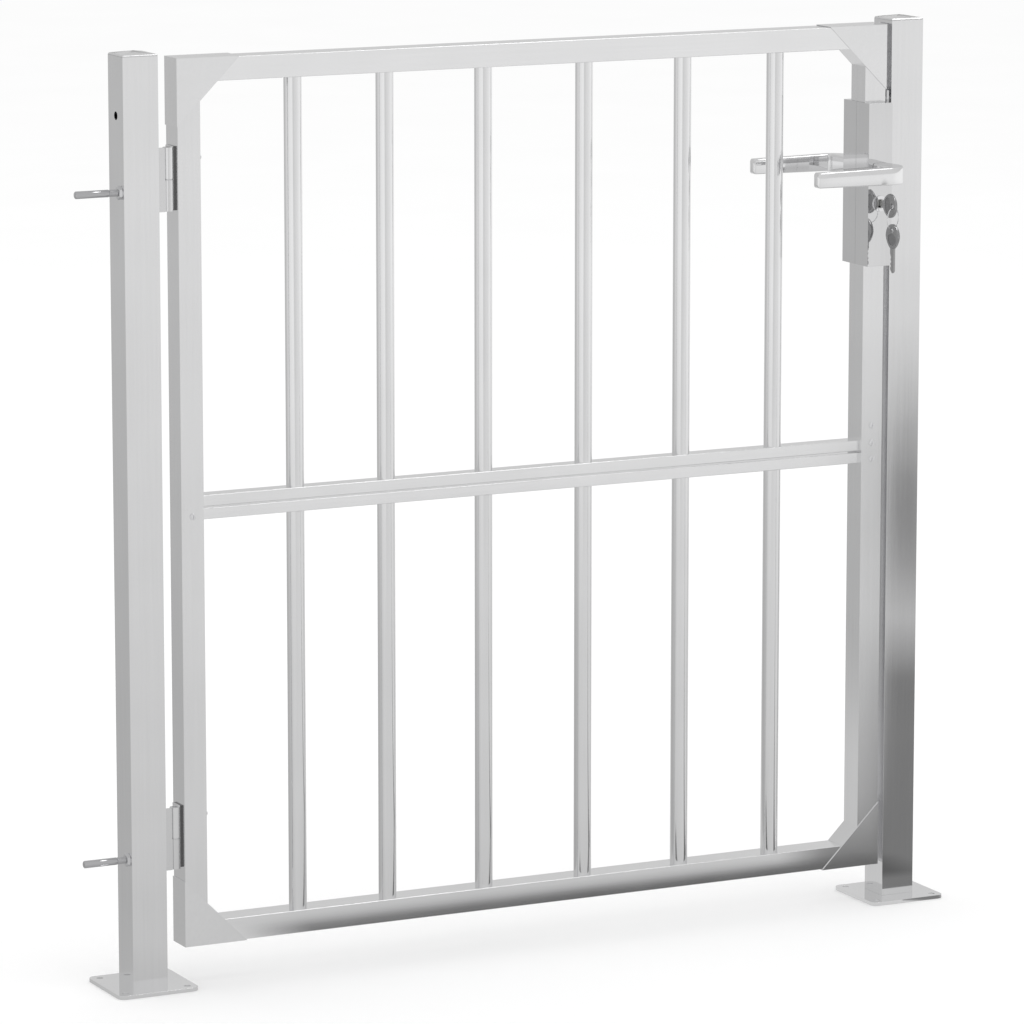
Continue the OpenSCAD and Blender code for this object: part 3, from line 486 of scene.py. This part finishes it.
def lever(name, node, way):
    """A cast lever: neck, round bend and tapering grip with rounded edges. way is -1 in front, 1 behind."""
    lo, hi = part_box(node)
    mid_x, mid_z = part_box("spindle")[0].x + 4 * MM, (lo.z + hi.z) / 2
    neck, tip = hi.x, lo.x
    y0 = hi.y if way < 0 else lo.y  # at the case
    y1 = lo.y if way < 0 else hi.y  # the grip's outer face
    grip, bend, fillet = 12 * MM, 24 * MM, 4 * MM
    top, low = 2.5 * MM, 1.4 * MM  # how round the upper and lower edges are
    inner_x = mid_x - (neck - mid_x)
    cx = neck - bend
    pairs = [(Vector((inner_x, y)), Vector((neck, y))) for y in (y0, y1 - way * bend)]
    for k in range(13):
        a = math.pi / 2 * k / 12
        c, s = math.cos(a), way * math.sin(a)
        inner = Vector((inner_x - fillet + fillet * c, y1 - way * (grip + fillet) + fillet * s))
        outer = Vector((cx + bend * c, y1 - way * bend + bend * s))
        pairs.append((inner, outer))
    for k in range(1, 7):
        x = cx + (tip + 3 * MM - cx) * k / 6
        pairs.append((Vector((x, y1 - way * grip)), Vector((x, y1))))
    stations = [(a, b, 0.0, 0.0) for a, b in pairs]
    a, b = pairs[0]
    stations[0] = (a, b, 0.6 * MM, 0.6 * MM)
    for back, shrink in ((2.0, 0.25), (1.2, 0.8), (0.5, 1.6), (0.0, 2.8)):
        x = tip + back * MM
        stations.append((Vector((x, y1 - way * grip)), Vector((x, y1)), shrink * MM, shrink * MM))
    rows = []
    for inner, outer, dw, dh in stations:
        x = (inner.x + outer.x) / 2
        half = (hi.z - lo.z) / 2 - 1.5 * MM * (neck - x) / (neck - tip) - dh
        across = outer - inner
        w = across.length
        d = across / w
        corners = ((w - dw - top, half - top, top, 0), (dw + top, half - top, top, 90),
                   (dw + low, -half + low, low, 180), (w - dw - low, -half + low, low, 270))
        ring = []
        for corner_t, corner_z, size, a0 in corners:
            for k in range(6):
                a = math.radians(a0 + 18 * k)
                q = inner + d * (corner_t + size * math.cos(a))
                ring.append(Vector((q.x, q.y, mid_z + corner_z + size * math.sin(a))))
        rows.append(ring)
    s = Shape()
    first, last, m = s.grid(rows)
    s.cap(first, m, True)
    s.cap(last, m)
    piece(name, s.verts, s.faces, "lever_set", "lever", [node], 28)


lever("cast_front_lever", "front_lever", -1)
lever("cast_back_lever", "back_lever", 1)


def flat_solid(name, outlines, thick, edge, place, body, finish, stands_for=()):
    """A flat plate from its outlines, the first one outside and the rest its holes, with rounded edges.
    place takes (along, across, through) to the frame."""
    curve = bpy.data.curves.new(name, "CURVE")
    curve.dimensions = "2D"
    curve.fill_mode = "BOTH"
    curve.extrude = thick / 2 - edge
    curve.bevel_depth = edge
    curve.bevel_resolution = 2
    curve.offset = -edge
    for outline in outlines:
        spline = curve.splines.new("POLY")
        spline.points.add(len(outline) - 1)
        for p, (x, y) in zip(spline.points, outline):
            p.co = (x, y, 0, 1)
        spline.use_cyclic_u = True
    ob = bpy.data.objects.new(name + "_curve", curve)
    scene.collection.objects.link(ob)
    bpy.context.view_layer.update()
    me = bpy.data.meshes.new_from_object(ob.evaluated_get(bpy.context.evaluated_depsgraph_get()))
    verts = [place(v.co.x, v.co.y, v.co.z) for v in me.vertices]
    faces = [tuple(f.vertices) for f in me.polygons]
    bpy.data.objects.remove(ob)
    bpy.data.meshes.remove(me)
    return piece(name, verts, faces, body, finish, stands_for)


def oval(cx, cy, rx, ry, power, n, taper):
    """Points round an oval, squarer with a higher power and narrowed by taper toward +x."""
    out = []
    for k in range(n):
        a = 2 * math.pi * k / n
        c, s = math.cos(a), math.sin(a)
        x = math.copysign(abs(c) ** (2 / power), c)
        y = math.copysign(abs(s) ** (2 / power), s)
        out.append((cx + rx * x, cy + ry * y * (1 - taper * max(0.0, x))))
    return out


KEY_L, BOW_L = 55 * MM, 28 * MM


def key_set(prefix, node, origin, along, body):
    """A key with a rimmed bow and a notched blade. origin is where they meet, and along points to the tip."""
    lo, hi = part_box(node)
    along = Vector(along)
    across = Vector((0, -along.z, along.y))
    through = Vector((1, 0, 0))

    def place(u, v, w):
        return Vector(origin) + along * u + across * v + through * w

    bow_w, t = 27 * MM, hi.x - lo.x
    turn = [math.pi * k / 12 for k in range(24)]
    hole = [(-21 * MM + 3.0 * MM * math.cos(a), 3.0 * MM * math.sin(a)) for a in turn]
    out = oval(-BOW_L / 2, 0, BOW_L / 2, bow_w / 2, 2.0, 56, 0.24)
    panel = oval(-10.5 * MM, 0, 6.2 * MM, 9.0 * MM, 2.3, 40, 0.2)
    flat_solid(prefix + "_bow_rim", [out, panel, hole], t, 0.5 * MM, place, body, "key", [node])
    sunk, thin = oval(-10.5 * MM, 0, 6.6 * MM, 9.4 * MM, 2.3, 40, 0.2), t - 1.0 * MM
    flat_solid(prefix + "_bow_panel", [sunk], thin, 0.1 * MM, place, body, "key_panel")
    half, blade = 4.0 * MM, KEY_L - BOW_L
    cuts = (0.0, 0.9, 2.1, 1.2, 2.6, 0.7, 1.8, 0.4)  # in mm
    edge = [(-2.0 * MM, -half), (-2.0 * MM, half), (2.5 * MM, half)]
    step = (blade - 7.5 * MM) / len(cuts)
    for k, c in enumerate(cuts):
        u = 3.5 * MM + step * k
        edge += [(u + step * 0.25, half - c * MM), (u + step * 0.6, half - c * MM)]
    edge += [(blade - 3.2 * MM, half - 1.0 * MM), (blade, -half + 3.4 * MM),
             (blade - 0.6 * MM, -half + 2.0 * MM), (blade - 2.6 * MM, -half)]
    flat_solid(prefix + "_blade", [edge], 2.2 * MM, 0.12 * MM, place, body, "key_blade")


lo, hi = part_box("key")
key_set("key", "key", ((lo.x + hi.x) / 2, lo.y + BOW_L, (lo.z + hi.z) / 2), (0, 1, 0), "plug")
lo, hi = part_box("spare_key")
key_set("spare_key", "spare_key", ((lo.x + hi.x) / 2, (lo.y + hi.y) / 2, hi.z - BOW_L), (0, 0, -1), "spare")

# A split ring: two turns of thin wire side by side, in an upright plane turned from the front
lo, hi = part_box("key_ring")
middle = (lo + hi) / 2
wire = 0.42 * MM
rad = (hi.z - lo.z) / 2 - 0.45 * MM
plane = math.radians(30)
normal = Vector((math.sin(plane), -math.cos(plane), 0))
flatdir = Vector((math.cos(plane), math.sin(plane), 0))
rows = []
turns, n, m = 1.93, 150, 10
for i in range(n + 1):
    f = i / n
    a = -math.pi / 2 + 2 * math.pi * turns * f
    shift = (f - 0.5) * 2 * wire
    out_dir = flatdir * math.cos(a) + Vector((0, 0, 1)) * math.sin(a)
    core = middle + out_dir * rad + normal * shift
    end = min(1.0, min(i, n - i) / 2 + 0.3)
    rows.append([core + out_dir * (wire * end * math.cos(b)) + normal * (wire * end * math.sin(b))
                 for b in [2 * math.pi * k / m for k in range(m)]])
s = Shape()
first, last, m = s.grid(rows)
s.cap(first, m, True)
s.cap(last, m)
piece("split_key_ring", s.verts, s.faces, "ring", "bright", ["key_ring"], 50)

# ---------- studio ----------

centre = (cad_box[0] + cad_box[1]) / 2


def stage_object(name, mesh_maker, material):
    """A part of the studio, from a function that fills its mesh."""
    me = bpy.data.meshes.new(name)
    bm = bmesh.new()
    mesh_maker(bm)
    bm.to_mesh(me)
    bm.free()
    ob = bpy.data.objects.new(name, me)
    scene.collection.objects.link(ob)
    me.materials.append(material)
    return ob


def only_reflected(ob):
    """Hides it from everything but mirror rays."""
    for sight in ("camera", "diffuse", "shadow", "transmission", "volume_scatter"):
        setattr(ob, "visible_" + sight, False)


# Brightness of the studio round the gate: degrees from straight in front, toward the latch side
ROUND = [(-180, 0.86), (-165, 0.56), (-150, 0.55), (-115, 0.74), (-80, 0.87), (-50, 0.95), (-28, 0.97),
         (-25, 0.70), (0, 0.78), (26, 0.84), (60, 0.95), (94, 0.97), (116, 0.94), (127, 0.86), (150, 0.82),
         (180, 0.86)]
# The same above eye level, where the studio is dimmer
ABOVE = [(-180, 0.6), (-115, 0.6), (-28, 0.75), (26, 0.7), (100, 0.62), (150, 0.65), (180, 0.6)]
# The same close round the gate's foot, before NEAR dims it
CLOSE = [(-180, 0.8), (-165, 0.58), (-150, 0.56), (-135, 0.6), (-120, 0.615), (-100, 0.66), (-80, 0.78),
         (-60, 0.86), (60, 0.86), (94, 0.88), (127, 0.84), (150, 0.82), (180, 0.8)]
# CLOSE gives way to ROUND between the first two distances in m, and nothing changes beyond the third
CLOSE_FROM, CLOSE_TO, FAR = 2.0, 4.5, 8.0
# How it dims toward the gate's foot: metres and share
NEAR = [(0.0, 0.70), (0.7, 0.79), (2.8, 0.90), (5.6, 1.0)]
CEILING = [(-180, 0.66), (0, 0.72), (180, 0.66)]
WALL_R = 16


def glow(name, stops, fades=None):
    """Light that changes with direction, and with distance where fades are given."""
    mat = bpy.data.materials.new(name)
    mat.use_nodes = True
    tree = mat.node_tree
    tree.nodes.clear()
    out = tree.nodes.new("ShaderNodeOutputMaterial")
    em = tree.nodes.new("ShaderNodeEmission")
    tree.links.new(em.outputs[0], out.inputs["Surface"])
    where = tree.nodes.new("ShaderNodeTexCoord").outputs["Object"]
    split = tree.nodes.new("ShaderNodeSeparateXYZ")
    tree.links.new(where, split.inputs[0])
    x, y, _ = split.outputs
    angle = math_node(tree, "ARCTAN2", x, math_node(tree, "MULTIPLY", y, -1.0))
    place = math_node(tree, "MULTIPLY_ADD", angle, 1 / (2 * math.pi), 0.5)
    tone, close = (ramp(tree, place, [((d + 180) / 360, v) for d, v in row]) for row in (stops, CLOSE))
    if fades:
        squares = [math_node(tree, "MULTIPLY", c, c) for c in (x, y)]
        far = math_node(tree, "SQRT", math_node(tree, "ADD", *squares))
        part = math_node(tree, "DIVIDE", far, FAR)
        share = ramp(tree, part, [(CLOSE_FROM / FAR, 0), (CLOSE_TO / FAR, 1)])
        tone = math_node(tree, "MULTIPLY_ADD", math_node(tree, "SUBTRACT", tone, close), share, close)
        fade = ramp(tree, part, [(d / FAR, v) for d, v in fades])
        tone = math_node(tree, "MULTIPLY", tone, fade)
    tree.links.new(tone, em.inputs["Strength"])
    return mat


def ring_wall(bm):
    """A round wall about the gate."""
    loops = []
    turn = [t * math.pi / 48 for t in range(96)]
    for z in (-0.02, 12.0):
        loops.append([bm.verts.new((WALL_R * math.cos(a), WALL_R * math.sin(a), z)) for a in turn])
    for i in range(96):
        j = (i + 1) % 96
        bm.faces.new((loops[0][i], loops[0][j], loops[1][j], loops[1][i]))


def disc(radius):
    def make(bm):
        bmesh.ops.create_circle(bm, cap_ends=True, radius=radius, segments=96)
    return make


for name, maker, look, z in (
    ("studio_wall", ring_wall, glow("wall_glow", ABOVE), 0),
    ("studio_ceiling", disc(WALL_R + 0.1), glow("ceiling_glow", CEILING), 11.9),
    ("studio_ground", disc(WALL_R + 0.1), glow("ground_glow", ROUND, NEAR), -0.003),
):
    ob = stage_object(name, maker, look)
    ob.location = (centre.x, centre.y, z)
    only_reflected(ob)


def soft_band(name, points, tone, z):
    """A soft darker band of ground that only reflections see. points are (x, y, strength, width to the left,
    width to the right) along it."""
    mat = bpy.data.materials.new(name)
    mat.use_nodes = True
    tree = mat.node_tree
    tree.nodes.clear()
    out = tree.nodes.new("ShaderNodeOutputMaterial")
    em = add(tree, "ShaderNodeEmission", Color=(tone, tone, tone, 1))
    clear = tree.nodes.new("ShaderNodeBsdfTransparent")
    mix = tree.nodes.new("ShaderNodeMixShader")
    cover = add(tree, "ShaderNodeAttribute", attribute_name="cover")
    tree.links.new(cover.outputs["Fac"], mix.inputs["Fac"])
    tree.links.new(clear.outputs[0], mix.inputs[1])
    tree.links.new(em.outputs[0], mix.inputs[2])
    tree.links.new(mix.outputs[0], out.inputs["Surface"])
    verts, faces, shades = [], [], []
    n = len(points)
    profile = [(-1.0, 0), (-0.75, 0.5), (-0.5, 1), (0.5, 1), (0.75, 0.5), (1.0, 0)]
    for i, (x, y, s, left, right) in enumerate(points):
        a, b = Vector(points[max(0, i - 1)][:2]), Vector(points[min(n - 1, i + 1)][:2])
        run = (b - a).normalized()
        side = Vector((-run.y, run.x))
        for t, k in profile:
            w = right if t < 0 else left
            verts.append((x + side.x * w * t, y + side.y * w * t, z))
            shades.append(s * k)
    m = len(profile)
    for i in range(n - 1):
        for j in range(m - 1):
            faces.append((i * m + j, i * m + j + 1, (i + 1) * m + j + 1, (i + 1) * m + j))
    me = bpy.data.meshes.new(name)
    me.from_pydata(verts, [], faces)
    layer = me.attributes.new("cover", "FLOAT", "POINT")
    layer.data.foreach_set("value", shades)
    me.materials.append(mat)
    ob = bpy.data.objects.new(name, me)
    scene.collection.objects.link(ob)
    only_reflected(ob)


CAMERA = Vector((-2.3271, -5.5917, 1.6059))
LOOK_DOWN_DEG, LOOK_RIGHT_DEG = 10.194, 26.36
post_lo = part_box("latch_post")[0]
stile_lo, stile_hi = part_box("lower_latch_stile")


def mirrored_band(name, x, y, shades, widths, tone, z):
    """The ground that an upright line of a front face, at x and y, mirrors. shades are (height on the line,
    shade), and widths are how far the band reaches on that face, to the right and to the left."""
    base = Vector((x, y))
    away = base - Vector((CAMERA.x, CAMERA.y))
    reach = away.length
    heading = Vector((away.x, -away.y)) / reach
    points = []
    for height, shade in shades:
        d = reach * height / (CAMERA.z - height)
        at = base + heading * d
        points.append((at.x, at.y, shade, *(w * -heading.y * (1 + d / reach) for w in widths)))
    soft_band(name, points, tone, z)


# What the latch post's polished front mirrors, and nothing of which shows on the stile beside it
mirrored_band("ground_shade", post_lo.x + 2 * MM, post_lo.y,
              [(0.011, 0.0), (0.0135, 0.94), (0.12, 0.94), (0.2, 0.95), (0.26, 1.0), (0.30, 0.62),
               (0.33, 0.36), (0.36, 0.55), (0.4, 0.82), (0.44, 0.93), (0.49, 0.94), (0.54, 0.7), (0.61, 0.3),
               (0.68, 0.14), (0.75, 0.08), (0.82, 0.0)], (90 * MM, 7 * MM), 0.19, -0.0022)
# What the lower corner of the leaf mirrors
mirrored_band("ground_shade_corner", stile_hi.x - 8 * MM, stile_lo.y,
              [(0.02, 0.0), (0.045, 0.9), (0.07, 0.82), (0.1, 0.6), (0.13, 0.45), (0.19, 0.3), (0.26, 0.15),
               (0.34, 0.0)], (16 * MM, 120 * MM), 0.19, -0.00215)

# The ground just in front of the gate, which the bottom rail's lower edge mirrors
rail_shades = ((0.19, 0), (0.27, 0.9), (0.6, 1), (0.92, 1), (0.99, 0.9), (1.04, 0))
soft_band("ground_shade_rail", [(x, -0.17, s, 0.062, 0.062) for x, s in rail_shades], 0.12, -0.0021)

floor_mat = bpy.data.materials.new("pale_floor")
floor_mat.use_nodes = True
tree = floor_mat.node_tree
bsdf = tree.nodes["Principled BSDF"]
bsdf.inputs["Roughness"].default_value = 0.9
bsdf.inputs["Specular IOR Level"].default_value = 0.0
where = add(tree, "ShaderNodeTexCoord").outputs["Object"]
pale = ramp(tree, noise(tree, where, EVEN, 3.0), [(0.3, 0.965), (0.7, 0.975)])
tree.links.new(pale, bsdf.inputs["Base Color"])
floor = stage_object("floor", disc(60), floor_mat)
floor.location = (centre.x, centre.y, -0.0005)
floor.visible_glossy = False

# The narrow gaps between polished faces need more mirror bounces than the usual four
scene.cycles.max_bounces = 16
scene.cycles.glossy_bounces = 16

world = bpy.data.worlds.new("studio")
scene.world = world
world.use_nodes = True
world.node_tree.nodes["Background"].inputs["Color"].default_value = (1, 1, 1, 1)
world.node_tree.nodes["Background"].inputs["Strength"].default_value = 1.0


def softbox(name, place, size, power, glossy):
    """A soft light that points at the gate's middle."""
    data = bpy.data.lights.new(name, "AREA")
    data.shape = "RECTANGLE"
    data.size, data.size_y = size
    data.energy = power
    data.use_shadow = False
    data.cycles.cast_shadow = False
    ob = bpy.data.objects.new(name, data)
    scene.collection.objects.link(ob)
    ob.location = place
    ob.rotation_euler = (centre - Vector(place)).to_track_quat("-Z", "Y").to_euler()
    ob.visible_glossy = glossy
    ob.visible_camera = False


# The key light is high, in front and to the right. The fill light is behind, and isn't mirrored
softbox("key_softbox", (2.75, -0.9, 5.4), (2.6, 1.2), 34, True)
softbox("fill_softbox", (-2.5, 2.5, 5.0), (5.0, 5.0), 12, False)

scene.view_settings.view_transform = "Standard"

# ---------- camera ----------

cam_data = bpy.data.cameras.new("camera")
cam = bpy.data.objects.new("camera", cam_data)
scene.collection.objects.link(cam)
cam_data.sensor_width = 36
cam_data.lens = 203.03
cam_data.clip_start, cam_data.clip_end = 0.1, 200
cam.location = CAMERA
cam.rotation_euler = (math.radians(90 - LOOK_DOWN_DEG), 0, math.radians(-LOOK_RIGHT_DEG))
scene.camera = cam
